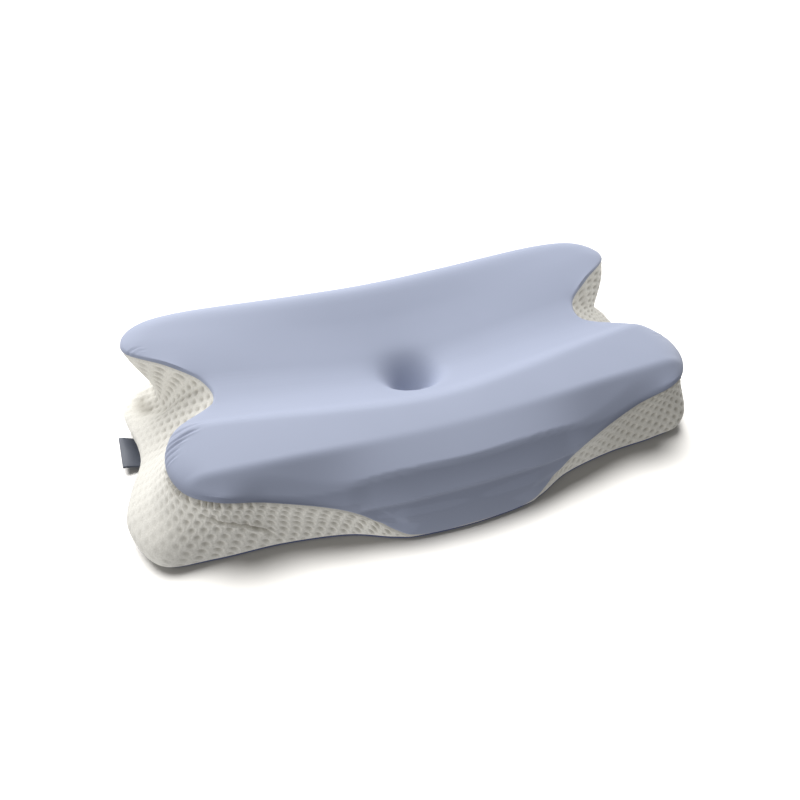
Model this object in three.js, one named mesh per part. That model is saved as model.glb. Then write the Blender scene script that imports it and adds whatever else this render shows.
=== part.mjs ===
// A butterfly-shaped foam pillow that eases snoring: one filled body in a knitted side cover,
// a smooth stretch-cloth panel over its top and down the front tongue, a thin base cloth
// and a small folded side tag.
// Millimetres, +X along the pillow's length, +Y to its rear edge, +Z up, resting on z = 0.
import * as THREE from "three";

// Cloth thicknesses and the clearance kept between separate pieces
const SHEET = 2.2;
const BASE_CLOTH = 2.0;
const GAP = 0.3;

// The sleeping surface. Each row is one line that runs from end to end across the top,
// from the rear edge to the front edge. y and z change from the middle to the pillow's
// ends, and soft is how widely the cloth rounds that line off.
const HALF_LENGTH = 300;
const RIDGES = [
  { line: "rear_edge", yMid: 177, yEnd: 179, zMid: 101, zEnd: 112, soft: 10 },
  { line: "rear_crown", yMid: 144, yEnd: 141, zMid: 107, zEnd: 121, soft: 12 },
  { line: "rear_slope", yMid: 82, yEnd: 91, zMid: 82, zEnd: 113, soft: 26 },
  { line: "valley", yMid: 18, yEnd: 24, zMid: 68, zEnd: 94, soft: 28 },
  { line: "front_slope", yMid: -34, yEnd: -23, zMid: 77, zEnd: 97, soft: 22 },
  { line: "inner_ridge", yMid: -72, yEnd: -42, zMid: 94, zEnd: 106, soft: 11 },
  { line: "crown_ridge", yMid: -120, yEnd: -119, zMid: 96, zEnd: 110, soft: 7 },
  { line: "brow_ridge", yMid: -155, yEnd: -136, zMid: 81, zEnd: 92, soft: 6 },
  { line: "front_edge", yMid: -169, yEnd: -145, zMid: 55, zEnd: 61, soft: 6 },
];
const SOFT_SAMPLES = 9;

// Between the tongue and the lobes the brow ridge sags
const BROW_SAG = { depth: 9, x: 160, width: 62 };

// The round well for the back of the head, and the shallow dish around it
const WELL = { x: 3, y: 14, radius: 28, depth: 39, steepness: 2.6, dishDepth: 4, dishRadius: 64 };

// Half the outline, from the middle of the front, round the end, to the middle of the rear.
// rim: where the rolled top edge turns down. roll: width of that rolled edge.
// neck: the drawn-in line part way down the side. neckAt: its share of the rim's height.
// belly: the fullest line, low on the side.
// foot: how far the side turns under at the base. seam: height of the top panel's edge.
// rightIn: how much flatter the belly is on the pillow's right-hand end.
const STATIONS = [
  { at: "front_mid", rimX: 0, rimY: -167, rimZ: 57, roll: 6, neckX: 0, neckY: -170,
    neckAt: 0.6, bellyX: 0, bellyY: -170, foot: 3, seam: 6, rightIn: 0 },
  { at: "tongue", rimX: 58, rimY: -164, rimZ: 57, roll: 6, neckX: 58, neckY: -167,
    neckAt: 0.6, bellyX: 58, bellyY: -166, foot: 3, seam: 6, rightIn: 0 },
  { at: "tongue_corner", rimX: 85, rimY: -160, rimZ: 58, roll: 7, neckX: 85, neckY: -161,
    neckAt: 0.6, bellyX: 85, bellyY: -158, foot: 3, seam: 18, rightIn: 0 },
  { at: "tongue_side", rimX: 130, rimY: -150, rimZ: 60, roll: 8, neckX: 129, neckY: -145,
    neckAt: 0.6, bellyX: 126, bellyY: -140, foot: 4, seam: 52, rightIn: 0 },
  { at: "front_arm", rimX: 195, rimY: -135, rimZ: 76, roll: 12, neckX: 193, neckY: -129,
    neckAt: 0.6, bellyX: 189, bellyY: -129, foot: 5, seam: 72, rightIn: 2 },
  { at: "lobe_front", rimX: 239, rimY: -136, rimZ: 93, roll: 20, neckX: 242, neckY: -127,
    neckAt: 0.6, bellyX: 252, bellyY: -126, foot: 6, seam: 89, rightIn: 6 },
  { at: "lobe_corner", rimX: 266, rimY: -114, rimZ: 94, roll: 26, neckX: 278, neckY: -111,
    neckAt: 0.6, bellyX: 304, bellyY: -120, foot: 12, seam: 90, rightIn: 18 },
  { at: "lobe_tip", rimX: 275, rimY: -77, rimZ: 96, roll: 26, neckX: 294, neckY: -74,
    neckAt: 0.6, bellyX: 325, bellyY: -74, foot: 14, seam: 92, rightIn: 20 },
  { at: "lobe_back", rimX: 260, rimY: -35, rimZ: 96, roll: 20, neckX: 286, neckY: -30,
    neckAt: 0.6, bellyX: 318, bellyY: -28, foot: 12, seam: 91, rightIn: 11 },
  { at: "notch", rimX: 218, rimY: 4, rimZ: 91, roll: 10, neckX: 264, neckY: 14,
    neckAt: 0.6, bellyX: 304, bellyY: 15, foot: 12, seam: 86, rightIn: 3 },
  { at: "notch_back", rimX: 222, rimY: 42, rimZ: 94, roll: 12, neckX: 261, neckY: 52,
    neckAt: 0.6, bellyX: 304, bellyY: 50, foot: 12, seam: 91, rightIn: 0 },
  { at: "wing_front", rimX: 254, rimY: 68, rimZ: 106, roll: 24, neckX: 267, neckY: 75,
    neckAt: 0.48, bellyX: 310, bellyY: 81, foot: 12, seam: 103, rightIn: 0 },
  { at: "wing_tip", rimX: 294, rimY: 102, rimZ: 111, roll: 30, neckX: 278, neckY: 104,
    neckAt: 0.44, bellyX: 312, bellyY: 112, foot: 14, seam: 108, rightIn: 0 },
  { at: "wing_corner", rimX: 283, rimY: 143, rimZ: 107, roll: 32, neckX: 271, neckY: 143,
    neckAt: 0.5, bellyX: 294, bellyY: 145, foot: 12, seam: 102, rightIn: 0 },
  { at: "rear_arm", rimX: 230, rimY: 164, rimZ: 100, roll: 30, neckX: 228, neckY: 162,
    neckAt: 0.6, bellyX: 235, bellyY: 166, foot: 8, seam: 94, rightIn: 0 },
  { at: "rear_side", rimX: 115, rimY: 167, rimZ: 94, roll: 30, neckX: 115, neckY: 166,
    neckAt: 0.6, bellyX: 115, bellyY: 169, foot: 7, seam: 88, rightIn: 0 },
  { at: "rear_mid", rimX: 0, rimY: 167, rimZ: 91, roll: 30, neckX: 0, neckY: 166,
    neckAt: 0.6, bellyX: 0, bellyY: 169, foot: 7, seam: 85, rightIn: 0 },
];
const BELLY_Z = 24;
const SOLE_Z = BASE_CLOTH + GAP;
const BASE_TUCK = 0.6;

// The side tag: a short folded ribbon sewn in low on the left side, its root tucked up to the faceted side
const TAG = { yFront: 33, yRear: 84, reachX: -323, z: 4.2, rise: 5.5, thick: 1.8, tuck: 0.65 };
const TAG_SECTIONS = 5;

// Mesh rings: round the well, out to the rim, down to the seam, down to the sole
const COLUMNS = 96;
const WELL_RING_RADII = [7, 14, 21, 28, 36, 48];
const FIELD_RINGS = 8;
const APRON_RINGS = 4;
const SIDE_RINGS = 7;

// The pillow's box is centred on the origin by this shift
const CENTRE = { x: -5.9, y: -1.5 };

const COLOURS = { cooling_cloth: 0xa9b0c9, side_knit: 0xe9e6db, base_cloth: 0x4d5670, tag_ribbon: 0x4c5364 };

function smooth(t) {
  const c = Math.min(Math.max(t, 0), 1);
  return c * c * (3 - 2 * c);
}

function lerp(a, b, t) {
  return a + (b - a) * t;
}

// Value of one outline column at u: 0 is the front middle, 0.25 the right end, 0.5 the rear middle.
// The left half mirrors the right one, and a smooth curve passes through the stations.
function around(column, u) {
  const half = STATIONS.length - 1;
  const count = 2 * half;
  const mirrored = column.endsWith("X") ? -1 : 1;
  const place = (u - Math.floor(u)) * count;
  const first = Math.floor(place);
  const t = place - first;
  const value = (k) => {
    const i = (first + k + count) % count;
    return i <= half ? STATIONS[i][column] : mirrored * STATIONS[count - i][column];
  };
  const [a, b, c, d] = [value(-1), value(0), value(1), value(2)];
  return b + 0.5 * t * (c - a + t * (2 * a - 5 * b + 4 * c - d + t * (3 * (b - c) + d - a)));
}

// y, z and softness of every ridge line at one x
function ridgesAt(x) {
  const out = smooth(Math.abs(x) / HALF_LENGTH);
  const sag = BROW_SAG.depth * Math.exp(-(((Math.abs(x) - BROW_SAG.x) / BROW_SAG.width) ** 2));
  return RIDGES.map((r) => ({
    y: lerp(r.yMid, r.yEnd, out),
    z: lerp(r.zMid, r.zEnd, out) - (r.line === "brow_ridge" ? sag : 0),
    soft: r.soft,
  }));
}

// The straight run between neighbouring ridge lines, read at y
function alongRidges(ridges, y, key) {
  let k = 0;
  while (k < ridges.length - 2 && y < ridges[k + 1].y) k += 1;
  const t = (ridges[k].y - y) / (ridges[k].y - ridges[k + 1].y);
  const inside = key === "z" ? t : Math.min(Math.max(t, 0), 1);
  return lerp(ridges[k][key], ridges[k + 1][key], inside);
}

// Height of the sleeping surface before its edge rolls over: the ridge lines, softened
function profile(x, y) {
  const ridges = ridgesAt(x);
  const soft = alongRidges(ridges, y, "soft");
  let sum = 0;
  for (let k = 0; k < SOFT_SAMPLES; k += 1) {
    const offset = soft * ((2 * (k + 0.5)) / SOFT_SAMPLES - 1);
    sum += alongRidges(ridges, y + offset, "z");
  }
  return sum / SOFT_SAMPLES;
}

function rimPoint(u) {
  return { x: around("rimX", u), y: around("rimY", u), z: around("rimZ", u) };
}

// Nearest place on the rim's outline, with its distance
const RIM_SAMPLES = 640;
const RIM = Array.from({ length: RIM_SAMPLES }, (_, i) => rimPoint(i / RIM_SAMPLES));

function nearestOnRim(x, y) {
  let best = { distance: Infinity, u: 0 };
  for (let i = 0; i < RIM_SAMPLES; i += 1) {
    const a = RIM[i];
    const b = RIM[(i + 1) % RIM_SAMPLES];
    const [dx, dy] = [b.x - a.x, b.y - a.y];
    const t = Math.min(Math.max(((x - a.x) * dx + (y - a.y) * dy) / (dx * dx + dy * dy), 0), 1);
    const distance = Math.hypot(x - a.x - t * dx, y - a.y - t * dy);
    if (distance < best.distance) best = { distance, u: (i + t) / RIM_SAMPLES };
  }
  return best;
}

function wellDepth(x, y) {
  const r = Math.hypot(x - WELL.x, y - WELL.y);
  const pit = WELL.depth * Math.exp(-((r / WELL.radius) ** WELL.steepness));
  return pit + WELL.dishDepth * Math.exp(-((r / WELL.dishRadius) ** 2));
}

// Height of the filled body's top, with its rolled edge and its well
function topHeight(x, y) {
  const { distance, u } = nearestOnRim(x, y);
  const rim = rimPoint(u);
  const drop = profile(rim.x, rim.y) - rim.z;
  const t = Math.max(1 - distance / around("roll", u), 0);
  return profile(x, y) - drop * (1 - Math.sqrt(1 - Math.min(t * t, 1))) - wellDepth(x, y);
}

// Outward direction of the belly line at u
function bellyNormal(u) {
  const step = 1e-3;
  const dx = around("bellyX", u + step) - around("bellyX", u - step);
  const dy = around("bellyY", u + step) - around("bellyY", u - step);
  const length = Math.hypot(dx, dy);
  return { x: dy / length, y: -dx / length };
}

function bellyPoint(u) {
  const right = u - Math.floor(u) < 0.5 ? around("rightIn", u) : 0;
  return { x: around("bellyX", u) - right, y: around("bellyY", u) };
}

// Smooth run through the rim, the neck and the belly, upright at both ends, for one coordinate
function throughNeck(z, zs, values) {
  const [zRim, zNeck, zBelly] = zs;
  const [rim, neck, belly] = values;
  const slope = (belly - rim) / (zBelly - zRim);
  const upper = z > zNeck;
  const [z0, z1] = upper ? [zNeck, zRim] : [zBelly, zNeck];
  const [v0, v1] = upper ? [neck, rim] : [belly, neck];
  const [s0, s1] = upper ? [slope, 0] : [0, slope];
  const span = z1 - z0;
  const t = (z - z0) / span;
  const bend = t * (1 - t) * ((1 - t) * s0 - t * s1) * span;
  return lerp(v0, v1, smooth(t)) + bend;
}

// Point of the pillow's side at u and height z
function sidePoint(u, z) {
  const rim = rimPoint(u);
  const belly = bellyPoint(u);
  if (z >= BELLY_Z) {
    const zs = [rim.z, rim.z * around("neckAt", u), BELLY_Z];
    const x = throughNeck(z, zs, [rim.x, around("neckX", u), belly.x]);
    const y = throughNeck(z, zs, [rim.y, around("neckY", u), belly.y]);
    return new THREE.Vector3(x, y, z);
  }
  const t = Math.min((BELLY_Z - z) / (BELLY_Z - SOLE_Z), 1);
  const under = around("foot", u) * (1 - Math.sqrt(1 - t * t));
  const out = bellyNormal(u);
  return new THREE.Vector3(belly.x - out.x * under, belly.y - out.y * under, z);
}

function ringOf(pointAt) {
  return Array.from({ length: COLUMNS }, (_, i) => pointAt(i / COLUMNS));
}

// Rings of the body's top, from the well's centre out to the rim
function topRings() {
  const centre = new THREE.Vector2(WELL.x, WELL.y);
  const widest = WELL_RING_RADII[WELL_RING_RADII.length - 1];
  const onTop = (p) => new THREE.Vector3(p.x, p.y, topHeight(p.x, p.y));
  const toRim = (u) => new THREE.Vector2(around("rimX", u), around("rimY", u)).sub(centre);
  const wellRing = (radius) =>
    ringOf((u) => onTop(toRim(u).setLength(radius).add(centre)));
  const fieldRing = (share) =>
    ringOf((u) => {
      const ray = toRim(u);
      return onTop(ray.setLength(lerp(widest, ray.length(), share)).add(centre));
    });
  const rings = WELL_RING_RADII.map(wellRing);
  for (let k = 1; k < FIELD_RINGS; k += 1) rings.push(fieldRing(1 - (1 - k / FIELD_RINGS) ** 1.5));
  rings.push(ringOf((u) => sidePoint(u, around("rimZ", u))));
  return rings;
}

// Rings of the side between the rim and the top panel's seam
function apronRings() {
  return Array.from({ length: APRON_RINGS }, (_, k) =>
    ringOf((u) => sidePoint(u, lerp(around("rimZ", u), around("seam", u), (k + 1) / APRON_RINGS))));
}

// Rings of the side below the seam, closer together near the sole
function lowerRings() {
  return Array.from({ length: SIDE_RINGS }, (_, k) => {
    const share = (1 - (k + 1) / SIDE_RINGS) ** 1.3;
    return ringOf((u) => sidePoint(u, lerp(SOLE_Z, around("seam", u), share)));
  });
}

// A closed solid from one end point, through rings of equal count, to the other end point.
// From ring number turn on, the rings run back under the first ones, and their faces are
// split along the other diagonal so that they lie parallel to those first ones.
function loftedSolid(start, rings, end, turn = rings.length) {
  const count = rings[0].length;
  const points = [start, ...rings.flat(), end];
  const last = points.length - 1;
  const index = [];
  for (let i = 0; i < count; i += 1) {
    const j = (i + 1) % count;
    index.push(0, 1 + i, 1 + j);
    for (let k = 0; k < rings.length - 1; k += 1) {
      const [a, b] = [1 + k * count, 1 + (k + 1) * count];
      if (k < turn) index.push(a + i, b + i, b + j, a + i, b + j, a + j);
      else index.push(a + i, b + i, a + j, a + j, b + i, b + j);
    }
    const a = 1 + (rings.length - 1) * count;
    index.push(a + i, last, a + j);
  }
  const geometry = new THREE.BufferGeometry().setFromPoints(points);
  geometry.setIndex(index);
  geometry.computeVertexNormals();
  return geometry;
}

// Points moved outward along the surface's own normals
function offsetRings(centre, rings, distance) {
  const skin = loftedSolid(centre, rings, new THREE.Vector3(WELL.x, WELL.y, 0));
  const normals = skin.getAttribute("normal");
  const moved = (point, i) => {
    const normal = new THREE.Vector3().fromBufferAttribute(normals, i);
    return point.clone().addScaledVector(normal, distance);
  };
  return {
    centre: moved(centre, 0),
    rings: rings.map((ring, k) => ring.map((point, i) => moved(point, 1 + k * COLUMNS + i))),
  };
}

const topCentre = new THREE.Vector3(WELL.x, WELL.y, topHeight(WELL.x, WELL.y));
const coveredRings = [...topRings(), ...apronRings()];
const uncoveredRings = lowerRings();

function sideCover() {
  const soleCentre = new THREE.Vector3(WELL.x, WELL.y, SOLE_Z);
  return loftedSolid(topCentre, [...coveredRings, ...uncoveredRings], soleCentre);
}

function topPanel() {
  const all = [...coveredRings, ...uncoveredRings];
  const covered = coveredRings.length;
  const outer = offsetRings(topCentre, all, GAP + SHEET);
  const inner = offsetRings(topCentre, all, GAP);
  const face = outer.rings.slice(0, covered);
  const back = inner.rings.slice(0, covered).reverse();
  return loftedSolid(outer.centre, [...face, ...back], inner.centre, covered);
}

function basePanel() {
  const outline = (z) =>
    ringOf((u) => {
      const belly = bellyPoint(u);
      const out = bellyNormal(u);
      const under = around("foot", u) * BASE_TUCK;
      return new THREE.Vector3(belly.x - out.x * under, belly.y - out.y * under, z);
    });
  const centreAt = (z) => new THREE.Vector3(WELL.x, WELL.y, z);
  return loftedSolid(centreAt(BASE_CLOTH), [outline(BASE_CLOTH), outline(0)], centreAt(0));
}

// u of the left side where the side at height z crosses a given y
function leftSideAt(y, z) {
  let [low, high] = [0.5 + 3 / 32, 1 - 8 / 32];
  for (let k = 0; k < 40; k += 1) {
    const middle = (low + high) / 2;
    if (sidePoint(middle, z).y > y) low = middle;
    else high = middle;
  }
  return (low + high) / 2;
}

function sideTag() {
  const { yFront, yRear, reachX, z, rise, thick, tuck } = TAG;
  const sections = Array.from({ length: TAG_SECTIONS }, (_, k) => {
    const y = lerp(yRear, yFront, k / (TAG_SECTIONS - 1));
    const inner = sidePoint(leftSideAt(y, z + thick), z + thick).x + tuck;
    const at = (x, height) => new THREE.Vector3(x, y, height);
    return [
      at(inner, z),
      at(reachX + 2, z + rise),
      at(reachX, z + rise + thick / 2),
      at(reachX + 2, z + rise + thick),
      at(inner, z + thick),
    ];
  });
  const middleOf = (section) => {
    const sum = section.reduce((total, p) => total.add(p), new THREE.Vector3());
    return sum.divideScalar(section.length);
  };
  return loftedSolid(middleOf(sections[0]), sections, middleOf(sections[TAG_SECTIONS - 1]));
}

function piece(name, geometry, colour, roughness) {
  const material = new THREE.MeshStandardMaterial({ color: colour, roughness, metalness: 0 });
  const mesh = new THREE.Mesh(geometry, material);
  mesh.name = name;
  return mesh;
}

const pillow = new THREE.Group();
pillow.add(
  piece("side_cover", sideCover(), COLOURS.side_knit, 0.95),
  piece("top_panel", topPanel(), COLOURS.cooling_cloth, 0.6),
  piece("base_panel", basePanel(), COLOURS.base_cloth, 0.85),
  piece("side_tag", sideTag(), COLOURS.tag_ribbon, 0.7),
);
pillow.position.set(-CENTRE.x, -CENTRE.y, 0);

export default pillow;
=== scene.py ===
"""Looks of a butterfly-shaped foam pillow: knitted side cover, smooth top cloth, base cloth and side tag.

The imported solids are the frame. Shapes are worked out in millimetres, in the pillow's own frame before
it is centred, and turn into metres when a mesh is made.
"""
import math

import bpy
import numpy as np
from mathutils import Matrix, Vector


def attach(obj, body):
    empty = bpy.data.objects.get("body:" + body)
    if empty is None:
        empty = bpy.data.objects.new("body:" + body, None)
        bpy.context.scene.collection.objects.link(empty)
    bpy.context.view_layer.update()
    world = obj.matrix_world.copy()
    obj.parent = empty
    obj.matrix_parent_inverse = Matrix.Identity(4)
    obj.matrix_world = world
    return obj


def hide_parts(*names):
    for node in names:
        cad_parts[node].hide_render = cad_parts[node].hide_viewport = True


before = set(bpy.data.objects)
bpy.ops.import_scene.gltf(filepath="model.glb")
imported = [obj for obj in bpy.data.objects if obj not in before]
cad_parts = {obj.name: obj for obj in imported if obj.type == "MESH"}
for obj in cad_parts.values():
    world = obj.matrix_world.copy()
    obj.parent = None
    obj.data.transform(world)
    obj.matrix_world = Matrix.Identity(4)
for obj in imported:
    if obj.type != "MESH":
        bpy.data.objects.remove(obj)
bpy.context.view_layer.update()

MM = 0.001

# Camera: the photograph's view
CAMERA_TARGET = (-15.7, -11.7, 52.6)
CAMERA_DISTANCE = 854.1
CAMERA_AZIMUTH = -21.02
CAMERA_ELEVATION = 38.1
CAMERA_LENS = 34.65

# Light: for the pillow one large soft lamp from the rear left and a weak low one from the right, for the
# floor an overhead one, and surroundings that are brighter on the left and a little brighter from below
KEY_TOWARDS = (-0.17, 0.76, 0.76)
KEY_SIZE = 1.1
KEY_POWER = 15
RIM_TOWARDS = (0.92, 0.3, 0.28)
RIM_SIZE = 0.6
RIM_POWER = 5
LAMP_DISTANCE = 1.2
FLOOR_LIGHT_TOWARDS = (-0.12, 0.3, 1.0)
FLOOR_LIGHT_POWER = 14.0
FLOOR_LIGHT_SPREAD = 42
FLOOR_HALF = 30.0
FLOOR_COLOUR = (0.33, 0.322, 0.31, 1)
FLOOR_ROUGHNESS = 0.95
AMBIENT = 0.585
AMBIENT_SLANT = (-0.39, 0.16, 0.0)
AMBIENT_BELOW = 1.15
AMBIENT_BELOW_FADE = (-0.6, 0.3)

# Cloth thicknesses and the clearance between pieces, as in the solids
SHEET = 2.2
EDGE_ROUND = 2.6
EDGE_THICKNESS = 0.3
BASE_CLOTH = 2.0
GAP = 0.3
CENTRE = (-5.9, -1.5)

# The sleeping surface: each row is one line that runs from end to end, from the rear to the front.
# y and z change from the pillow's middle to its ends, and soft is how widely the line is rounded off.
HALF_LENGTH = 300
RIDGE_COLUMNS = ("y_mid", "y_end", "z_mid", "z_end", "soft")
RIDGES = {
    "rear_edge": (177, 179, 101, 112, 10),
    "rear_crown": (144, 141, 107, 121, 12),
    "rear_slope": (82, 91, 82, 113, 26),
    "valley": (18, 24, 68, 94, 28),
    "front_slope": (-34, -23, 77, 97, 22),
    "inner_ridge": (-72, -42, 95, 107, 8),
    "crown_ridge": (-117, -116, 93, 106, 4),
    "brow_ridge": (-155, -136, 81, 92, 3),
    "front_edge": (-169, -145, 55, 61, 4),
}
BROW = list(RIDGES).index("brow_ridge")
SOFT_SAMPLES = 9

# Between the tongue and the lobes the brow ridge sags: how far, how far out, and how wide the sag is
BROW_SAG = 11
BROW_SAG_X = 156
BROW_SAG_WIDTH = 50

# The round well for the back of the head, steeper at its front, and the shallow dish around it
WELL_X = -0.5
WELL_Y = 4.5
WELL_RADIUS = 27.5
WELL_DEPTH = 34
WELL_STEEPNESS = 2.2
WELL_FRONT_STEEPNESS = 3.6
DISH_DEPTH = 4
DISH_RADIUS = 64

# Half the outline, from the front middle round the end to the rear middle. The rim is where the top's
# rolled edge ends, and roll is how wide that edge is. The neck is the side's hollow line, at the share
# neck_at of the rim's height, and the belly is its fullest line. foot is how far the side curves in to the
# sole, and seam is the height of the top cloth's lower edge.
STATION_COLUMNS = (
    "rim_x", "rim_y", "rim_z", "roll", "neck_x", "neck_y", "neck_at", "belly_x", "belly_y",
    "foot", "seam",
)
STATIONS = {
    "front_mid": (0, -167, 57, 6, 0, -170, 0.6, 0, -170, 3, 6),
    "tongue": (58, -164, 57, 6, 58, -167, 0.6, 58, -166, 3, 6),
    "tongue_corner": (85, -160, 58, 7, 85, -161, 0.6, 85, -158, 3, 18),
    "tongue_side": (130, -150, 60, 8, 129, -145, 0.6, 126, -140, 4, 52),
    "front_arm": (195, -135, 76, 12, 193, -129, 0.6, 189, -129, 5, 72),
    "lobe_front": (239, -136, 93, 20, 242, -127, 0.6, 252, -126, 6, 89),
    "lobe_corner": (266, -114, 94, 26, 278, -111, 0.6, 304, -120, 12, 90),
    "lobe_tip": (275, -77, 96, 26, 294, -74, 0.6, 325, -74, 14, 92),
    "lobe_back": (260, -35, 96, 20, 286, -30, 0.6, 318, -28, 12, 91),
    "notch": (218, 4, 91, 10, 264, 14, 0.6, 304, 15, 12, 88),
    "notch_back": (222, 42, 94, 12, 261, 52, 0.6, 304, 50, 12, 92.5),
    "wing_front": (254, 68, 106, 24, 264, 75, 0.45, 310, 81, 12, 105),
    "wing_tip": (294, 102, 111, 30, 273, 104, 0.4, 312, 112, 14, 110),
    "wing_corner": (283, 143, 107, 32, 268, 143, 0.44, 294, 145, 12, 106),
    "rear_arm": (230, 164, 100, 30, 228, 162, 0.6, 235, 166, 8, 94),
    "rear_side": (115, 167, 94, 30, 115, 166, 0.6, 115, 169, 7, 88),
    "rear_mid": (0, 167, 91, 30, 0, 166, 0.6, 0, 169, 7, 85),
}

# The right half isn't quite the left one's mirror image: how far some of its stations move outward, or
# inward where the value is below 0, and how far its side swells between the rim and the neck
RIGHT_SHIFTS = {
    "rim_x": {"wing_front": 2, "wing_tip": 5, "wing_corner": 4},
    "neck_x": {"notch": 6, "notch_back": 10, "wing_front": 20, "wing_tip": 24, "wing_corner": 14},
    "belly_x": {
        "front_arm": -2, "lobe_front": -6, "lobe_corner": -20, "lobe_tip": -23, "lobe_back": -11,
        "notch": -3, "notch_back": 3, "wing_front": 5, "wing_tip": 2,
    },
}
RIGHT_SWELL = {"notch_back": 2, "wing_front": 6, "wing_tip": 8, "wing_corner": 5}
STATION_TABLE = np.array(list(STATIONS.values()), float)
RIDGE_TABLE = np.array(list(RIDGES.values()), float)

# Heights of the belly and of the sole
BELLY_Z = 24
SOLE_Z = BASE_CLOTH + GAP

# The base cloth: the share of the foot's curve that its edge lies in, and the points of that rounded edge
# as height and distance in from its widest line
BASE_TUCK = 0.85
BASE_INNER = 30
BASE_EDGE = (
    (BASE_CLOTH, BASE_INNER),
    (BASE_CLOTH, 1.2),
    (1.6, 0.3),
    (1.0, 0),
    (0.4, 0.3),
    (0, 1.2),
    (0, BASE_INNER),
)

# The front tongue: a sharp line across it, above and below which the cloth is drawn in. Shade is painted
# into the cloth under the sharp lines, and reaches further out than the hollows do.
TONGUE_HALF = 128
TONGUE_FOOT_HALF = 72
TONGUE_FLARE = 1.1
TONGUE_FADE = 26
TONGUE_REAR_Y = -100
TONGUE_LINE_Z = 58
TONGUE_SAG = 10
TONGUE_HEM_Z = 4
DRAWN_IN = 3.2
DRAWN_IN_PEAK = 2.598
BAND_SHADE = 0.38
BAND_SHADE_HALF = 250
BAND_SHADE_FADE_X = 70
BAND_SHADE_FADE_Y = 20
BAND_SHADE_START = 0.12

# Creases in the top cloth and folds in the knit: the points that each one runs through, how wide and
# deep its trough is, and how far the cloth stands up beside it
TOP_CREASES = (
    {"path": ((-277, -62, 99), (-262, -59, 107), (-238, -51, 106)), "width": 1.3, "depth": 1.3, "lip": 0.7},
    {"path": ((-279, -70, 97), (-268, -67, 105), (-252, -62, 107)), "width": 1.2, "depth": 1.2, "lip": 0.7},
    {"path": ((-279, -77, 97), (-270, -75, 104), (-260, -72, 107)), "width": 1.1, "depth": 0.9, "lip": 0.5},
    {"path": ((-279, -85, 97), (-272, -83, 103), (-263, -80, 107)), "width": 1.1, "depth": 0.6, "lip": 0.4},
    {"path": ((-270, -51, 99), (-258, -49, 105), (-234, -41, 105)), "width": 1.5, "depth": 0.8, "lip": 0.5},
    {"path": ((-291, 93, 108), (-287, 96, 112), (-277, 99, 115)), "width": 1.2, "depth": 1.0, "lip": 0.5},
    {"path": ((-284, 89, 110), (-280, 92, 113), (-273, 94, 114)), "width": 1.1, "depth": 0.6, "lip": 0.4},
    {"path": ((281, -74, 98), (270, -71, 104), (256, -68, 106)), "width": 1.6, "depth": 0.6, "lip": 0.4},
)
KNIT_FOLDS = (
    {
        "path": ((-262, -121, 71), (-252, -126, 63), (-236, -128, 53), (-204, -128, 32), (-186, -129, 10)),
        "width": 1.5, "depth": 3.2, "lip": 2.2,
    },
    {
        "path": ((-216, 37, 92), (-236, 47, 80), (-257, 60, 64), (-278, 66, 48)),
        "width": 1.4, "depth": 1.2, "lip": 0.4,
    },
    {
        "path": ((-309, 84, 34), (-305, 62, 30), (-300, 40, 32), (-303, 0, 34)),
        "width": 3, "depth": -1.0, "lip": 0,
    },
    # A wide, shallow hollow under the left wing, whose painted shade stands for the wing's shadow there
    {
        "path": ((-278, 80, 34), (-292, 106, 33), (-290, 134, 34)),
        "width": 9, "depth": 3.0, "lip": 0,
    },
)

# Every crease: how closely its line is sampled, how far beside it the cloth can move, over what shares of
# its length it starts and ends, and, in widths of its trough, where the lips stand and how wide they are
CREASE_SPACING = 1.5
CREASE_REACH = 6
CREASE_MARGIN = 4
CREASE_START = 0.25
CREASE_END = 0.35
LIP_AT = 2.1
LIP_WIDTH = 1.1

# Air-layer knit: dimples in skewed rows, each one an oval that leans down along the side
DIMPLE_PITCH = 12.0
DIMPLE_ROW = 9.0
DIMPLE_SKEW = -0.23
DIMPLE_LONG = 3.5
DIMPLE_SHORT = 2.4
DIMPLE_LEAN = math.radians(35)
DIMPLE_DEPTH = 1.7
DIMPLE_STEEPNESS = 2.2

# The yarn stands up a little in a ring round each dimple: how much, where, and how wide the ring is
DIMPLE_RING = 0.25
DIMPLE_RING_AT = 1.55
DIMPLE_RING_WIDTH = 0.45

# The dimples start below the seam and end above the sole, and no relief is left at the sole itself
DIMPLE_TOP = 1
DIMPLE_TOP_FADE = 6
DIMPLE_FOOT = 1
DIMPLE_FOOT_FADE = 4
SOLE_FADE = 2

# The knit is stretched taut over the left end, where its dimples are shallow
TAUT_FROM_X = 268
TAUT_FADE = 28
TAUT_SHARE = 0.72

# Gathers in the knit under the seam of the front lobes: how many would fit all round, the waves that their
# spacing and height drift with, how high they are, and where below the seam they start and end. A stretch
# along x is where it starts, over what distance it comes in, where it ends, and over what distance it
# goes out.
GATHER_COUNT = 158
GATHER_DRIFT = (9, 23, 41)
GATHER_DRIFT_SEED = 11
GATHER_UNEVEN = 4.2
GATHER_HEIGHT = 2.1
GATHER_HEIGHT_SEED = 5
GATHER_VARIATION = 0.6
GATHER_LIFT = 0.4
GATHER_START = 2.5
GATHER_FULL = 3
GATHER_REACH = 14
GATHER_FRONT_FADE = 30
LEFT_GATHERS = (-300, 12, -170, 70)
RIGHT_GATHERS = (190, 60, 285, 12)
RIGHT_GATHER_SHARE = 0.45

# The knit swells softly just below its seam
SEAM_SWELL = 0.9
SEAM_SWELL_RISE = 4
SEAM_SWELL_FALL = 7

# Where the front starts for the painted shades there, and over what distance
FRONT_FROM_Y = -60
FRONT_FADE = 45
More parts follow.
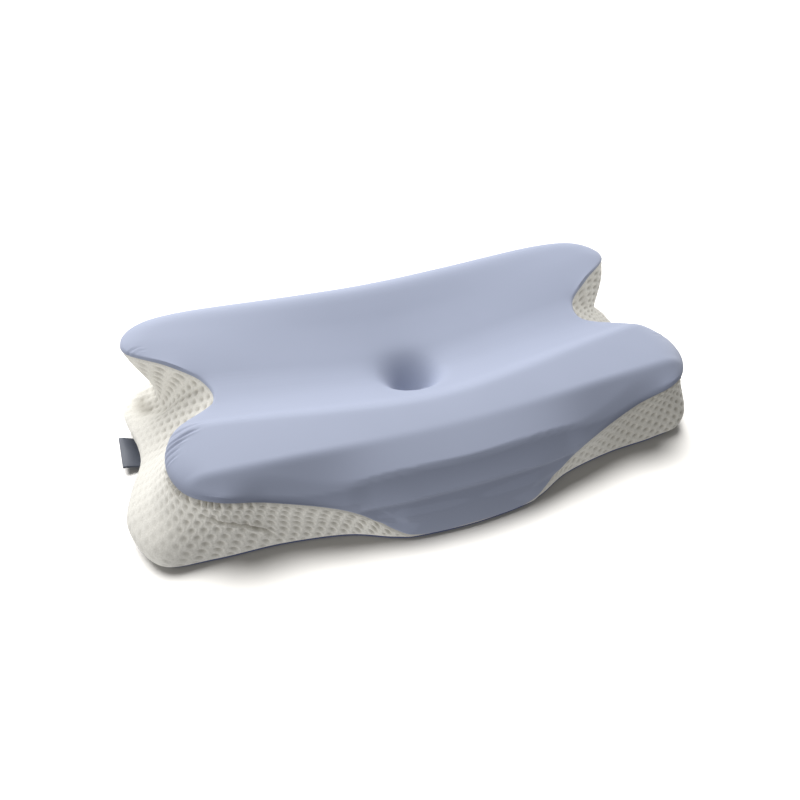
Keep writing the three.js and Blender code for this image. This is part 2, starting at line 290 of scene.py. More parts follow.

# Shade painted into the knit's colour: how dark it is in its dimples, where it is partly also the knit's
# darker ground, in the troughs of its gathers and folds, in the groove of its seam, close under the seam of
# the front, and over the front's right stretch, which lies in shade
DIMPLE_SHADE = 0.66
GATHER_SHADE = 0.8
FOLD_SHADE = 0.26
SEAM_SHADE = 0.55
SEAM_GROOVE = 2.2
EAVES_SHADE = 0.3
EAVES_REACH = 20
RIGHT_FRONT_SHADE = 0.34
RIGHT_FRONT = (140, 70, 300, 24)

# Shade painted into the top cloth where it turns under at the front lobes' seam: how dark, and over what
# distances
TURN_SHADE = 0.6
TURN_REACH = 11
TURN_FROM_X = 110
TURN_FADE = 60

# The side tag: a short folded ribbon, as in the solids, with a slight ripple. Its root lies within the
# stretch of the outline.
TAG_FRONT = 33
TAG_REAR = 84
TAG_REACH = -323
TAG_Z = 4.2
TAG_RISE = 5.5
TAG_THICK = 1.8
TAG_TUCK = 0.5
TAG_STRETCH = (0.60, 0.74)
TAG_RIPPLE = 0.35
TAG_RIPPLE_TURN = 0.16
TAG_RIPPLE_START = 1
RIBBON = 0.7

# Mesh fineness: columns round the outline, which are closest at the front left corner, rings over the
# top, which crowd towards the rim, and rings down the side. The back of the top cloth has fewer rings.
# The rim is sampled to find the place on it that is nearest to a point, for so many points at a time.
DENSE_AT = 0.86
DENSE_BY = 0.42
CLOTH_COLUMNS = 820
KNIT_COLUMNS = 1120
WELL_STEP = 2.8
WELL_RINGS = 16
FIELD_RINGS = 44
FIELD_CROWDING = 1.5
APRON_RINGS = 38
BACK_STEP = 8
SIDE_RINGS = 66
TAG_CUTS = 40
TAG_OUT_STEPS = 14
TAG_TURN_STEPS = 9
TAG_SIDE_SAMPLES = 400
RIM_SAMPLES = 960
RIM_BATCH = 4000

# The pillow's surface under the top cloth doesn't show: few rings, a little below the cloth
HIDDEN_WELL_STEP = 12.0
HIDDEN_WELL_RINGS = 4
HIDDEN_FIELD_RINGS = 9
HIDDEN_SIDE_RINGS = 2
HIDDEN_INSET = 1.5

# Sockets of a mix node that mixes colours
MIX_FACTOR = 0
MIX_LOW = 6
MIX_HIGH = 7
MIX_RESULT = 2


def smooth(t):
    c = np.clip(t, 0, 1)
    return c * c * (3 - 2 * c)


def lerp(a, b, t):
    return a + (b - a) * t


def within(x, start, start_fade, end, end_fade):
    """1 between start and end, with a soft run from and to 0 inside them."""
    return smooth((x - start) / start_fade) * smooth((end - x) / end_fade)


def around(column, u):
    """One outline column at u: 0 is the front middle, 0.25 the right end, 0.5 the rear middle."""
    half = STATION_TABLE[:, STATION_COLUMNS.index(column)]
    mirrored = -1 if column.endswith("_x") else 1
    shifts = RIGHT_SHIFTS.get(column, {})
    right = half + np.array([shifts.get(name, 0) for name in STATIONS])
    return ring_value(np.concatenate([right, mirrored * half[-2:0:-1]]), u)


def swell(u):
    """How far the right half's side swells out between its rim and its neck."""
    right = np.array([float(RIGHT_SWELL.get(name, 0)) for name in STATIONS])
    return ring_value(np.concatenate([right, 0 * right[-2:0:-1]]), u)


def ring_value(ring, u):
    """Smooth run through a closed ring of values, read at u."""
    place = np.mod(u, 1.0) * len(ring)
    first = np.floor(place).astype(int)
    t = place - first
    a, b, c, d = (ring[(first + k) % len(ring)] for k in (-1, 0, 1, 2))
    return b + 0.5 * t * (c - a + t * (2 * a - 5 * b + 4 * c - d + t * (3 * (b - c) + d - a)))


def columns(count):
    """Places u round the outline, closest together near DENSE_AT."""
    v = np.arange(count) / count
    return v - DENSE_BY / (2 * math.pi) * np.sin(2 * math.pi * (v - DENSE_AT))


def ridge_lines(x, quantity):
    """y, z or softness of every ridge line at x."""
    out = smooth(np.abs(x) / HALF_LENGTH)
    if quantity == "soft":
        return [np.full_like(out, row[RIDGE_COLUMNS.index("soft")]) for row in RIDGE_TABLE]
    mid, end = RIDGE_COLUMNS.index(f"{quantity}_mid"), RIDGE_COLUMNS.index(f"{quantity}_end")
    lines = [lerp(row[mid], row[end], out) for row in RIDGE_TABLE]
    if quantity == "z":
        sag = np.exp(-(((np.abs(x) - BROW_SAG_X) / BROW_SAG_WIDTH) ** 2))
        lines[BROW] = lines[BROW] - BROW_SAG * sag
    return lines


def along_ridges(lines, values, y, clamp=False):
    """The straight run of values between neighbouring ridge lines, read at y."""
    result = values[0]
    for k in range(len(lines) - 1):
        t = (lines[k] - y) / (lines[k] - lines[k + 1])
        t = np.clip(t, 0, 1) if clamp else t
        result = np.where((y < lines[k]) | (k == 0), lerp(values[k], values[k + 1], t), result)
    return result


def profile(x, y):
    """Height of the sleeping surface before its edge rolls over: the ridge lines, softened."""
    lines, heights = ridge_lines(x, "y"), ridge_lines(x, "z")
    soft = along_ridges(lines, ridge_lines(x, "soft"), y, clamp=True)
    offsets = [(2 * (k + 0.5)) / SOFT_SAMPLES - 1 for k in range(SOFT_SAMPLES)]
    return sum(along_ridges(lines, heights, y + soft * offset) for offset in offsets) / SOFT_SAMPLES


def nearest_on_rim(x, y):
    """Distance to the rim's outline, and u of the nearest place on it."""
    u = np.arange(RIM_SAMPLES) / RIM_SAMPLES
    ax, ay = around("rim_x", u), around("rim_y", u)
    dx, dy = np.roll(ax, -1) - ax, np.roll(ay, -1) - ay
    distance, nearest = np.empty_like(x), np.empty_like(x)
    for start in range(0, len(x), RIM_BATCH):
        part = slice(start, start + RIM_BATCH)
        px, py = x[part, None] - ax, y[part, None] - ay
        t = np.clip((px * dx + py * dy) / (dx * dx + dy * dy), 0, 1)
        away = np.hypot(px - t * dx, py - t * dy)
        k = away.argmin(axis=1)
        row = np.arange(len(k))
        distance[part] = away[row, k]
        nearest[part] = (k + t[row, k]) / RIM_SAMPLES
    return distance, nearest


def well_depth(x, y):
    r = np.hypot(x - WELL_X, y - WELL_Y)
    frontward = smooth(0.5 + 0.5 * (WELL_Y - y) / np.maximum(r, 1))
    steepness = lerp(WELL_STEEPNESS, WELL_FRONT_STEEPNESS, frontward)
    pit = WELL_DEPTH * np.exp(-((r / WELL_RADIUS) ** steepness))
    return pit + DISH_DEPTH * np.exp(-((r / DISH_RADIUS) ** 2))


def top_height(x, y):
    """Height of the filled body's top, with its rolled edge and its well."""
    flat_x, flat_y = x.ravel(), y.ravel()
    distance, u = nearest_on_rim(flat_x, flat_y)
    drop = profile(around("rim_x", u), around("rim_y", u)) - around("rim_z", u)
    t = np.clip(1 - distance / around("roll", u), 0, 1)
    height = profile(flat_x, flat_y) - drop * (1 - np.sqrt(1 - t * t)) - well_depth(flat_x, flat_y)
    return height.reshape(x.shape)


def belly_normal(u):
    step = 1e-3
    dx = around("belly_x", u + step) - around("belly_x", u - step)
    dy = around("belly_y", u + step) - around("belly_y", u - step)
    length = np.hypot(dx, dy)
    return dy / length, -dx / length


def belly_point(u):
    return around("belly_x", u), around("belly_y", u)


def through_neck(z, z_rim, z_neck, rim, neck, belly):
    """Smooth run through the rim, the neck and the belly, upright at both ends."""
    slope = (belly - rim) / (BELLY_Z - z_rim)
    upper = z > z_neck
    z0, z1 = np.where(upper, z_neck, BELLY_Z), np.where(upper, z_rim, z_neck)
    v0, v1 = np.where(upper, neck, belly), np.where(upper, rim, neck)
    s0, s1 = np.where(upper, slope, 0), np.where(upper, 0, slope)
    t = (z - z0) / (z1 - z0)
    return lerp(v0, v1, smooth(t)) + t * (1 - t) * ((1 - t) * s0 - t * s1) * (z1 - z0)


def side_points(u, z):
    """Points of the pillow's side at u and height z."""
    belly_x, belly_y = belly_point(u)
    z_rim = around("rim_z", u)
    z_neck = z_rim * around("neck_at", u)
    x = through_neck(z, z_rim, z_neck, around("rim_x", u), around("neck_x", u), belly_x)
    share = np.clip((z_rim - z) / (z_rim - z_neck), 0, 1)
    x = x + swell(u) * np.sin(math.pi * share)
    y = through_neck(z, z_rim, z_neck, around("rim_y", u), around("neck_y", u), belly_y)
    t = np.clip((BELLY_Z - z) / (BELLY_Z - SOLE_Z), 0, 1)
    under = around("foot", u) * (1 - np.sqrt(1 - t * t))
    out_x, out_y = belly_normal(u)
    x = np.where(z < BELLY_Z, belly_x - out_x * under, x)
    y = np.where(z < BELLY_Z, belly_y - out_y * under, y)
    return np.stack([x, y, z], axis=-1)


def top_rings(u, well_step, well_rings, field_rings):
    """Rings of the body's top, from the well's centre out to just inside the rim."""
    ray_x, ray_y = around("rim_x", u) - WELL_X, around("rim_y", u) - WELL_Y
    reach = np.hypot(ray_x, ray_y)
    radii = [np.full_like(u, well_step * (k + 1)) for k in range(well_rings)]
    widest = well_step * well_rings
    shares = [1 - (1 - k / field_rings) ** FIELD_CROWDING for k in range(1, field_rings)]
    radii = np.array(radii + [lerp(widest, reach, share) for share in shares])
    x = WELL_X + radii * ray_x / reach
    y = WELL_Y + radii * ray_y / reach
    return np.stack([x, y, top_height(x, y)], axis=-1)


def side_rings(u, z_top, z_bottom, count):
    """Rings of the side from z_top down to z_bottom, both included."""
    return np.array([side_points(u, lerp(z_top, z_bottom, k / count)) for k in range(count + 1)])


def ring_normals(rings):
    """Outward normals of a stack of closed rings."""
    across = np.gradient(rings, axis=0)
    along = np.roll(rings, -1, axis=1) - np.roll(rings, 1, axis=1)
    normals = np.cross(across, along)
    return normals / np.maximum(np.linalg.norm(normals, axis=-1, keepdims=True), 1e-9)


def run_down(rings):
    """Distance down each column, from the first ring."""
    steps = np.linalg.norm(np.diff(rings, axis=0), axis=-1)
    return np.concatenate([np.zeros((1, rings.shape[1])), np.cumsum(steps, axis=0)])


def run_around(ring):
    """Distance along a closed ring from u = 0, and the ring's whole length."""
    steps = np.linalg.norm(np.roll(ring, -1, axis=0) - ring, axis=-1)
    return np.concatenate([[0], np.cumsum(steps)[:-1]]), float(steps.sum())


def dense_line(path):
    """Closely spaced points along a path of straight legs."""
    path = np.array(path, float)
    legs = np.linalg.norm(np.diff(path, axis=0), axis=1)
    at = np.concatenate([[0], np.cumsum(legs)])
    place = np.linspace(0, at[-1], int(at[-1] / CREASE_SPACING) + 2)
    return np.stack([np.interp(place, at, path[:, k]) for k in range(3)], axis=1)


def crease(points, normals, path, width, depth, lip):
    """How far a trough along the path, with a soft lip on each side, moves every point."""
    line = dense_line(path)
    flat = points.reshape(-1, 3)
    reach = CREASE_REACH * width + CREASE_MARGIN
    low, high = line.min(axis=0) - reach, line.max(axis=0) + reach
    near = np.where(((flat > low) & (flat < high)).all(axis=1))[0]
    moved = np.zeros(len(flat))
    if len(near):
        gap = flat[near, None] - line[None]
        k = np.linalg.norm(gap, axis=2).argmin(axis=1)
        tangent = np.gradient(line, axis=0)[k]
        across = np.cross(normals.reshape(-1, 3)[near], tangent)
        across /= np.linalg.norm(across, axis=1, keepdims=True)
        offset = gap[np.arange(len(k)), k]
        side = (offset * across).sum(axis=1) / width
        beyond = (offset * tangent).sum(axis=1) / np.linalg.norm(tangent, axis=1) / width
        share = k / (len(line) - 1)
        taper = smooth(share / CREASE_START) * smooth((1 - share) / CREASE_END) * np.exp(-beyond**2)
        lips = np.exp(-((np.abs(side) - LIP_AT) / LIP_WIDTH) ** 2)
        moved[near] = taper * (lip * lips - depth * np.exp(-side**2))
    return moved.reshape(points.shape[:-1])


def drawn_in(t):
    """A hollow between two tight lines, from 0 to 1: steep under the first one, then flaring out."""
    c = np.clip(t, 0, 1)
    return DRAWN_IN_PEAK * np.sqrt(c) * (1 - c)


def tongue_bands(points):
    """How far every point lies down its band of the front, from 0 at the band's upper line to 1."""
    x, z = points[..., 0], points[..., 2]
    line = TONGUE_LINE_Z - TONGUE_SAG * (x / TONGUE_HALF) ** 2
    brow = ridge_lines(x, "z")[BROW]
    above, below = (brow - z) / (brow - line), (line - z) / (line - TONGUE_HEM_Z)
    return np.clip(np.where(z > line, above, below), 0, 1)


def tongue_relief(points):
    """How far the cloth of the front tongue is drawn in under its sharp lines."""
    half = np.minimum(TONGUE_HALF, TONGUE_FOOT_HALF + TONGUE_FLARE * points[..., 2])
    wide = smooth((half - np.abs(points[..., 0])) / TONGUE_FADE) * (points[..., 1] < TONGUE_REAR_Y)
    return -DRAWN_IN * wide * drawn_in(tongue_bands(points))


def band_shade(points):
    """Shade painted on the cloth under the front's sharp lines, darkest just below each line."""
    down = tongue_bands(points)
    wide = smooth((BAND_SHADE_HALF - np.abs(points[..., 0])) / BAND_SHADE_FADE_X)
    front = smooth((TONGUE_REAR_Y - points[..., 1]) / BAND_SHADE_FADE_Y)
    return BAND_SHADE * wide * front * smooth(down / BAND_SHADE_START) * (1 - down)


def dimples(s, t, length):
    """Depth of the knit's dimples, s along the side and t down from the seam."""
    pitch = length / round(length / DIMPLE_PITCH)
    depth = np.zeros_like(s)
    for neighbour in (-1, 0, 1):
        row = np.round(t / DIMPLE_ROW) + neighbour
        along = s / pitch - row * DIMPLE_SKEW
        off_s = (along - np.round(along)) * pitch
        off_t = t - row * DIMPLE_ROW
        long_way = off_s * math.cos(DIMPLE_LEAN) + off_t * math.sin(DIMPLE_LEAN)
        short_way = off_t * math.cos(DIMPLE_LEAN) - off_s * math.sin(DIMPLE_LEAN)
        r = np.hypot(long_way / DIMPLE_LONG, short_way / DIMPLE_SHORT)
        ring = DIMPLE_RING * np.exp(-(((r - DIMPLE_RING_AT) / DIMPLE_RING_WIDTH) ** 2))
        depth += np.exp(-(r**DIMPLE_STEEPNESS)) - ring
    return depth


def waves(s, length, counts, seed):
    """An uneven wave along a closed ring, from whole numbers of waves, between -1 and 1."""
    draws = np.random.default_rng(seed)
    turns = [count * 2 * math.pi * s / length + draws.uniform(0, 2 * math.pi) for count in counts]
    return sum(np.sin(turn) for turn in turns) / len(counts)


def gathers(points, s, t, length):
    """Height of the small puckers under the seam of the front lobes."""
    x, y = points[..., 0], points[..., 1]
    lobes = within(x, *LEFT_GATHERS) + RIGHT_GATHER_SHARE * within(x, *RIGHT_GATHERS)
    front = smooth((FRONT_FROM_Y - y) / GATHER_FRONT_FADE)
    down = smooth(t / GATHER_START) * (1 - smooth((t - GATHER_FULL) / GATHER_REACH))
    drift = GATHER_UNEVEN * waves(s, length, GATHER_DRIFT, seed=GATHER_DRIFT_SEED)
    puffs = GATHER_LIFT + np.sin(GATHER_COUNT * 2 * math.pi * s / length + drift)
    uneven = 1 + GATHER_VARIATION * waves(s, length, GATHER_DRIFT[::-1], seed=GATHER_HEIGHT_SEED)
    return GATHER_HEIGHT * lobes * front * down * puffs * uneven


def placed_mesh(name, points, faces):
    """An object of points in millimetres, moved to the centred frame, with smooth faces."""
    mesh = bpy.data.meshes.new(name)
    centred = (np.asarray(points) - np.array([CENTRE[0], CENTRE[1], 0])) * MM
    mesh.from_pydata(centred.tolist(), [], faces)
    mesh.polygons.foreach_set("use_smooth", np.full(len(mesh.polygons), True))
    mesh.update()
    piece = bpy.data.objects.new(name, mesh)
    bpy.context.scene.collection.objects.link(piece)
    return piece


def closed_mesh(name, start, rings, end):
    """A closed mesh from one end point, through the rings, to the other end point."""
    rows, count = rings.shape[:2]
    points = np.concatenate([[start], rings.reshape(-1, 3), [end]])
    i = np.arange(count)
    j = (i + 1) % count
    starts = 1 + count * np.arange(rows)
    first = np.stack([np.zeros_like(i), 1 + i, 1 + j], axis=1)
    quads = [np.stack([a + i, b + i, b + j, a + j], axis=1) for a, b in zip(starts[:-1], starts[1:])]
    last = np.stack([starts[-1] + i, np.full_like(i, len(points) - 1), starts[-1] + j], axis=1)
    return placed_mesh(name, points, first.tolist() + np.concatenate(quads).tolist() + last.tolist())


def well_centre(height):
    middle = top_height(np.array([float(WELL_X)]), np.array([float(WELL_Y)]))[0]
    return [WELL_X, WELL_Y, middle + height]


def store_painted_shade(piece, shade, before, after):
    """Stores the shade painted into the cloth's colour at every point, with plain points before and after
    the given ones.
    """
    shades = np.concatenate([np.zeros(before), np.clip(shade, 0, 1).ravel(), np.zeros(after)])
    piece.data.attributes.new("shade", "FLOAT", "POINT").data.foreach_set("value", shades)


def at_front(points):
    return smooth((FRONT_FROM_Y - points[..., 1]) / FRONT_FADE)


def painted_eaves_shade(points, t):
    """Painted shade on the front's knit: close under the seam, in the shade of the top's overhanging edge,
    and towards the right end, which lies in shade.
    """
    right = within(points[..., 0], *RIGHT_FRONT)
    return at_front(points) * (EAVES_SHADE * (1 - smooth(t / EAVES_REACH)) + RIGHT_FRONT_SHADE * right)


def hidden_rings(u):
    """Rings of the pillow under its top cloth, from the well to just above the seam."""
    top = top_rings(u, HIDDEN_WELL_STEP, HIDDEN_WELL_RINGS, HIDDEN_FIELD_RINGS)
    side = side_rings(u, around("rim_z", u), around("seam", u), HIDDEN_SIDE_RINGS)
    return np.concatenate([top, side[:-1]])


def knit_surface(side, normals):
    """How far gathers, dimples, folds and the swell under the seam move the knit, and the shade painted
    into its colour.
    """
    s, length = run_around(side[SIDE_RINGS // 2])
    s = np.broadcast_to(s, side.shape[:2])
    t = run_down(side)
    above_sole = side[..., 2] - SOLE_Z
    taut = 1 - TAUT_SHARE * smooth((-TAUT_FROM_X - side[..., 0]) / TAUT_FADE)
    fade = taut * smooth((t - DIMPLE_TOP) / DIMPLE_TOP_FADE)
    fade = fade * smooth((above_sole - DIMPLE_FOOT) / DIMPLE_FOOT_FADE)
    hollows = dimples(s, t, length) * fade
    puckers = gathers(side, s, t, length)
    relief = puckers - DIMPLE_DEPTH * hollows
    # Painted shade in the seam's groove, close under the front's seam, and over the front's right stretch
    painted_seam_and_eaves_shade = SEAM_SHADE * (1 - smooth(t / SEAM_GROOVE)) + painted_eaves_shade(side, t)
    # Painted shade in the dimples, partly also the knit's darker ground there, and in the gathers' troughs
    shade = DIMPLE_SHADE * np.maximum(hollows, 0) + GATHER_SHADE * np.maximum(-puckers, 0) + painted_seam_and_eaves_shade
    for fold in KNIT_FOLDS:
        moved = crease(side, normals, **fold)
        relief = relief + moved
        # Painted shade in the fold's trough
        shade = shade + FOLD_SHADE * np.maximum(-moved, 0)
    below = 1 - smooth((t - SEAM_SWELL_RISE) / SEAM_SWELL_FALL)
    return relief + SEAM_SWELL * smooth(t / SEAM_SWELL_RISE) * below, shade


def side_cover():
    """The filled pillow in its knitted cover. Under the top cloth its surface lies a little lower."""
    u = columns(KNIT_COLUMNS)
    hidden = hidden_rings(u)
    side = side_rings(u, around("seam", u), np.full_like(u, SOLE_Z), SIDE_RINGS)
    rings = np.concatenate([hidden, side])
    normals, drawn = ring_normals(rings), tongue_relief(rings)
    first = len(hidden)
    relief, shade = knit_surface(side, normals[first:])
    relief = (relief + drawn[first:]) * smooth((side[..., 2] - SOLE_Z) / SOLE_FADE)
    moves = np.concatenate([drawn[:first] - HIDDEN_INSET, relief])
    rings = rings + normals * moves[..., None]
    piece = closed_mesh("knit_side_cover", well_centre(-HIDDEN_INSET), rings, [WELL_X, WELL_Y, SOLE_Z])
    store_painted_shade(piece, shade, 1 + hidden[..., 0].size, 1)
    return piece


def top_panel():
    """The smooth cloth over the top and down the front tongue, drawn in at its seam."""
    u = columns(CLOTH_COLUMNS)
    top = top_rings(u, WELL_STEP, WELL_RINGS, FIELD_RINGS)
    rings = np.concatenate([top, side_rings(u, around("rim_z", u), around("seam", u), APRON_RINGS)])
    normals = ring_normals(rings)
    above_seam = run_down(rings[::-1])[::-1]
    rounding = np.sqrt(1 - (1 - np.clip(above_seam / EDGE_ROUND, 0, 1)) ** 2)
    thickness = EDGE_THICKNESS + (SHEET - EDGE_THICKNESS) * rounding
    relief = tongue_relief(rings)
    for fold in TOP_CREASES:
        relief = relief + crease(rings, normals, **fold)
    face = rings + normals * (GAP + thickness + relief)[..., None]
    back = (rings + normals * (GAP + np.minimum(relief, 0))[..., None])[::-1][::BACK_STEP]
    sheet = np.concatenate([face, back])
    piece = closed_mesh("top_cloth", well_centre(GAP + SHEET), sheet, well_centre(GAP))
    # Shade painted into the top cloth where it turns under at the front lobes' seam, and under the front's
    # sharp lines
    lobes = smooth((np.abs(rings[..., 0]) - TURN_FROM_X) / TURN_FADE)
    painted_turn_shade = TURN_SHADE * at_front(rings) * lobes * (1 - smooth(above_seam / TURN_REACH))
    store_painted_shade(piece, painted_turn_shade + band_shade(rings), 1, back[..., 0].size + 1)
    return piece


def base_panel():
    """The base cloth, which shows as a thin dark line under the side cover."""
    u = columns(CLOTH_COLUMNS)
    belly_x, belly_y = belly_point(u)
    out_x, out_y = belly_normal(u)
    under = around("foot", u) * BASE_TUCK

    def outline(z, inset):
        x, y = belly_x - out_x * (under + inset), belly_y - out_y * (under + inset)
        return np.stack([x, y, np.full_like(x, z)], axis=-1)

    rings = np.array([outline(z, inset) for z, inset in BASE_EDGE])
    return closed_mesh("base_cloth", [WELL_X, WELL_Y, BASE_CLOTH], rings, [WELL_X, WELL_Y, 0.0])


def tag_roots(y):
    """Where the ribbon leaves the side of the pillow, at each y."""
    u = np.linspace(*TAG_STRETCH, TAG_SIDE_SAMPLES)
    low_side = side_points(u, np.full_like(u, TAG_Z + TAG_THICK))
    return np.interp(y, low_side[::-1, 1], low_side[::-1, 0]) + TAG_TUCK


def tag_cut(root_x, y):
    """The folded ribbon's outline in the cut at y: along its outer face, and back along its inner face."""
    out = np.linspace(0, 1, TAG_OUT_STEPS)
    turn = np.linspace(0, math.pi, TAG_TURN_STEPS)[1:-1]
    bend = (TAG_THICK - RIBBON) / 2
    reach = TAG_REACH + bend
    run_x = lerp(root_x, reach, out)
    ripple = TAG_RIPPLE * math.sin(TAG_RIPPLE_TURN * y + TAG_RIPPLE_START)
    rise = TAG_RISE * smooth(out) + ripple * smooth(out)
    middle = TAG_Z + TAG_THICK / 2
    layers = []
    for radius in (bend + RIBBON / 2, bend - RIBBON / 2):
        top = np.stack([run_x, middle + rise + radius], axis=1)
        fold_z = middle + rise[-1] + radius * np.cos(turn)
        fold = np.stack([reach - radius * np.sin(turn), fold_z], axis=1)
        under = np.stack([run_x, middle + rise - radius], axis=1)[::-1]
        layers.append(np.concatenate([top, fold, under]))
    cut = np.concatenate([layers[0], layers[1][::-1]])
    return np.column_stack([cut[:, 0], np.full(len(cut), y), cut[:, 1]])


def tag_faces(cuts, count):
    """Faces between neighbouring cuts of count points each, and the two end faces in strips."""
    faces = []
    for k in range(cuts - 1):
        a, b = k * count, (k + 1) * count
        faces += [(a + i, b + i, b + (i + 1) % count, a + (i + 1) % count) for i in range(count)]
    for start, flip in ((0, False), ((cuts - 1) * count, True)):
        for i in range(count // 2 - 1):
            quad = (start + i, start + i + 1, start + count - 2 - i, start + count - 1 - i)
            faces.append(quad[::-1] if flip else quad)
    return faces


def side_tag():
    """The short ribbon, folded over, that is sewn in low on the left side."""
    y = np.linspace(TAG_REAR, TAG_FRONT, TAG_CUTS)
    cuts = [tag_cut(root_x, at_y) for root_x, at_y in zip(tag_roots(y), y)]
    return placed_mesh("folded_tag", np.concatenate(cuts), tag_faces(TAG_CUTS, len(cuts[0])))


def cloth_material(name, roughness, sheen, sheen_roughness):
    made = bpy.data.materials.new(name)
    made.use_nodes = True
    shader = made.node_tree.nodes["Principled BSDF"]
    shader.inputs["Roughness"].default_value = roughness
    shader.inputs["Sheen Weight"].default_value = sheen
    shader.inputs["Sheen Roughness"].default_value = sheen_roughness
    return made


def colour_mix(made, low, high, factor):
    """Base colour that varies between low and high with the factor socket."""
    nodes, links = made.node_tree.nodes, made.node_tree.links
    mix = nodes.new("ShaderNodeMix")
    mix.data_type = "RGBA"
    mix.inputs[MIX_LOW].default_value = (*low, 1)
    mix.inputs[MIX_HIGH].default_value = (*high, 1)
    links.new(factor, mix.inputs[MIX_FACTOR])
    links.new(mix.outputs[MIX_RESULT], nodes["Principled BSDF"].inputs["Base Color"])
    return mix


def noise(made, scale, detail=2.0):
    nodes, links = made.node_tree.nodes, made.node_tree.links
    place = nodes.new("ShaderNodeTexCoord")
    texture = nodes.new("ShaderNodeTexNoise")
    texture.inputs["Scale"].default_value = scale
    texture.inputs["Detail"].default_value = detail
    links.new(place.outputs["Object"], texture.inputs["Vector"])
    return texture.outputs["Fac"]


def bump(made, height, strength, distance):
    nodes, links = made.node_tree.nodes, made.node_tree.links
    node = nodes.new("ShaderNodeBump")
    node.inputs["Strength"].default_value = strength
    node.inputs["Distance"].default_value = distance
    links.new(height, node.inputs["Height"])
    links.new(node.outputs["Normal"], nodes["Principled BSDF"].inputs["Normal"])


def paint_shade(made, plain, painted_shade_colour):
    """Paints shade into the colour: mixes the plain colour towards the dark shade colour as far as the
    mesh's shade attribute says.
    """
    depth = made.node_tree.nodes.new("ShaderNodeAttribute")
    depth.attribute_name = "shade"
    mix = colour_mix(made, low=(1, 1, 1), high=painted_shade_colour, factor=depth.outputs["Fac"])
    made.node_tree.links.new(plain.outputs[MIX_RESULT], mix.inputs[MIX_LOW])


def cooling_cloth():
    """Smooth blue-grey stretch cloth, faintly mottled, with shade painted in where the mesh holds it."""
    made = cloth_material("cooling_cloth", roughness=0.72, sheen=0.1, sheen_roughness=0.5)
    tint = noise(made, scale=14.0)
    plain = colour_mix(made, low=(0.325, 0.362, 0.475), high=(0.345, 0.382, 0.5), factor=tint)
    paint_shade(made, plain, painted_shade_colour=(0.14, 0.16, 0.23))
    bump(made, noise(made, scale=1500.0, detail=1.0), strength=0.12, distance=0.0003)
    return made


def side_knit():
    """Cream air-layer knit with a visible grain, with shade painted in where the mesh holds it."""
    made = cloth_material("side_knit", roughness=0.9, sheen=0.15, sheen_roughness=0.5)
    grain = noise(made, scale=620.0)
    plain = colour_mix(made, low=(0.63, 0.61, 0.55), high=(0.96, 0.94, 0.88), factor=grain)
    paint_shade(made, plain, painted_shade_colour=(0.38, 0.36, 0.31))
    bump(made, noise(made, scale=900.0), strength=0.35, distance=0.0006)
    return made


def base_cloth():
    """Navy cloth of the base."""
    made = cloth_material("base_cloth", roughness=0.85, sheen=0.1, sheen_roughness=0.5)
    colour_mix(made, low=(0.06, 0.08, 0.17), high=(0.08, 0.1, 0.2), factor=noise(made, scale=300.0))
    bump(made, noise(made, scale=1200.0), strength=0.2, distance=0.0003)
    return made


def tag_ribbon():
    """Dark slate-blue ribbon of the tag."""
    made = cloth_material("tag_ribbon", roughness=0.5, sheen=0.1, sheen_roughness=0.3)
    weave = noise(made, scale=700.0)
    colour_mix(made, low=(0.062, 0.073, 0.102), high=(0.078, 0.091, 0.124), factor=weave)
    bump(made, noise(made, scale=2200.0), strength=0.25, distance=0.0002)
    return made


def soft_surroundings():
    """Light from all round, brighter on the left than on the right and a little brighter from below."""
    world = bpy.data.worlds.new("studio_world")
    bpy.context.scene.world = world
    world.use_nodes = True
    nodes, links = world.node_tree.nodes, world.node_tree.links
    place = nodes.new("ShaderNodeTexCoord")
    split = nodes.new("ShaderNodeSeparateXYZ")
    links.new(place.outputs["Generated"], split.inputs[0])
    slant = nodes.new("ShaderNodeVectorMath")
    slant.operation = "DOT_PRODUCT"
    links.new(place.outputs["Generated"], slant.inputs[0])
    slant.inputs[1].default_value = AMBIENT_SLANT
    across = nodes.new("ShaderNodeMath")
    across.operation = "ADD"
    links.new(slant.outputs["Value"], across.inputs[0])
    across.inputs[1].default_value = AMBIENT
    below = nodes.new("ShaderNodeMapRange")
    below.inputs["From Min"].default_value = AMBIENT_BELOW_FADE[0]
    below.inputs["From Max"].default_value = AMBIENT_BELOW_FADE[1]
    below.inputs["To Min"].default_value = AMBIENT_BELOW
    links.new(split.outputs["Z"], below.inputs["Value"])
    strength = nodes.new("ShaderNodeMath")
    strength.operation = "MULTIPLY"
    links.new(across.outputs[0], strength.inputs[0])
    links.new(below.outputs["Result"], strength.inputs[1])
    nodes["Background"].inputs["Color"].default_value = (1, 1, 1, 1)
    links.new(strength.outputs[0], nodes["Background"].inputs["Strength"])


def floor():
    """A white ground that shows and takes shadows, but casts no light back on the pillow."""
    mesh = bpy.data.meshes.new("floor")
    corners = [(-1, -1), (1, -1), (1, 1), (-1, 1)]
    mesh.from_pydata([(x * FLOOR_HALF, y * FLOOR_HALF, 0) for x, y in corners], [], [(0, 1, 2, 3)])
    made = bpy.data.objects.new("floor", mesh)
    bpy.context.scene.collection.objects.link(made)
    white = bpy.data.materials.new("floor_white")
    white.use_nodes = True
    shader = white.node_tree.nodes["Principled BSDF"]
    shader.inputs["Base Color"].default_value = FLOOR_COLOUR
    shader.inputs["Roughness"].default_value = FLOOR_ROUGHNESS
    mesh.materials.append(white)
    made.visible_diffuse = False
    made.visible_glossy = False
    return made


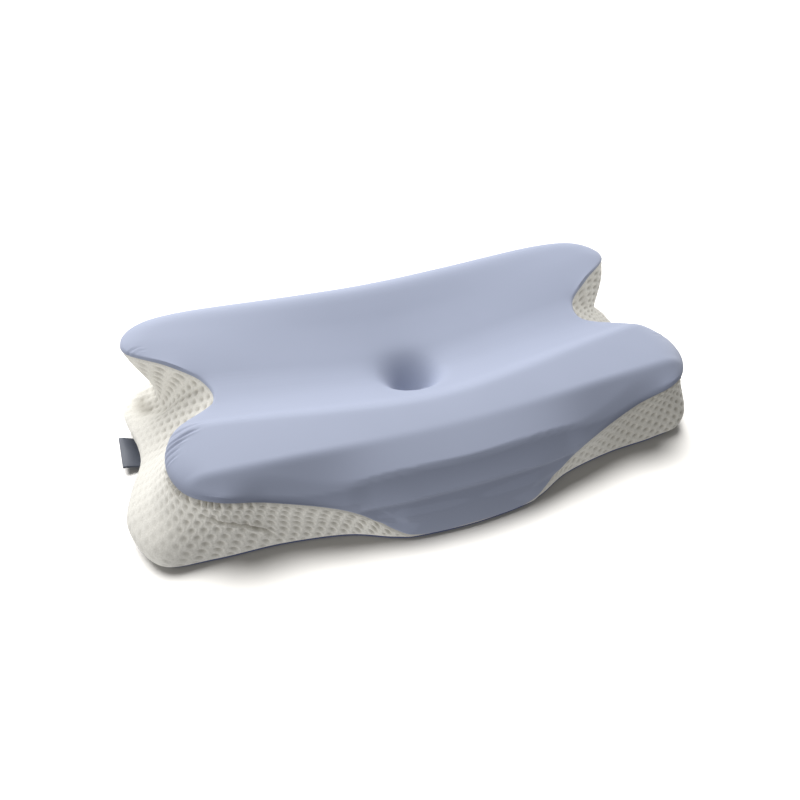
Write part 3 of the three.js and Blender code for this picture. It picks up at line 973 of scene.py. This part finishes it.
def lamp(kind, name, towards, power, spread, lit):
    """A light in the direction towards, which shines on the objects in lit only."""
    light = bpy.data.lights.new(name, kind)
    light.energy = power
    made = bpy.data.objects.new(name, light)
    direction = Vector(towards).normalized()
    made.rotation_euler = direction.to_track_quat("Z", "Y").to_euler()
    if kind == "SUN":
        light.angle = math.radians(spread)
    else:
        light.shape = "DISK"
        light.size = spread
        made.location = direction * LAMP_DISTANCE
    bpy.context.scene.collection.objects.link(made)
    receivers = bpy.data.collections.new(f"lit_by_{name}")
    for piece in lit:
        receivers.objects.link(piece)
    made.light_linking.receiver_collection = receivers


def studio(pieces):
    """White floor, soft surroundings, a large soft light from behind and a weak one on the right."""
    bpy.context.scene.view_settings.view_transform = "Standard"
    soft_surroundings()
    ground = floor()
    lamp("AREA", "key_light", KEY_TOWARDS, KEY_POWER, KEY_SIZE, pieces)
    lamp("AREA", "rim_light", RIM_TOWARDS, RIM_POWER, RIM_SIZE, pieces)
    lamp("SUN", "floor_light", FLOOR_LIGHT_TOWARDS, FLOOR_LIGHT_POWER, FLOOR_LIGHT_SPREAD, [ground])


def camera():
    azimuth, elevation = math.radians(CAMERA_AZIMUTH), math.radians(CAMERA_ELEVATION)
    back = Vector((
        math.sin(azimuth) * math.cos(elevation),
        -math.cos(azimuth) * math.cos(elevation),
        math.sin(elevation),
    ))
    lens = bpy.data.cameras.new("photo_camera")
    lens.lens = CAMERA_LENS
    eye = bpy.data.objects.new("photo_camera", lens)
    eye.location = (Vector(CAMERA_TARGET) + back * CAMERA_DISTANCE) * MM
    eye.rotation_euler = back.to_track_quat("Z", "Y").to_euler()
    bpy.context.scene.collection.objects.link(eye)
    bpy.context.scene.camera = eye


def dress(piece, node, finish):
    """Gives a piece its finish, and puts it in the place of its solid."""
    piece.data.materials.append(finish)
    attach(piece, "root")
    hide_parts(node)
    return piece


camera()
cover = dress(side_cover(), "side_cover", side_knit())
cloth = dress(top_panel(), "top_panel", cooling_cloth())
base = dress(base_panel(), "base_panel", base_cloth())
tag = dress(side_tag(), "side_tag", tag_ribbon())
studio([cover, cloth, base, tag])
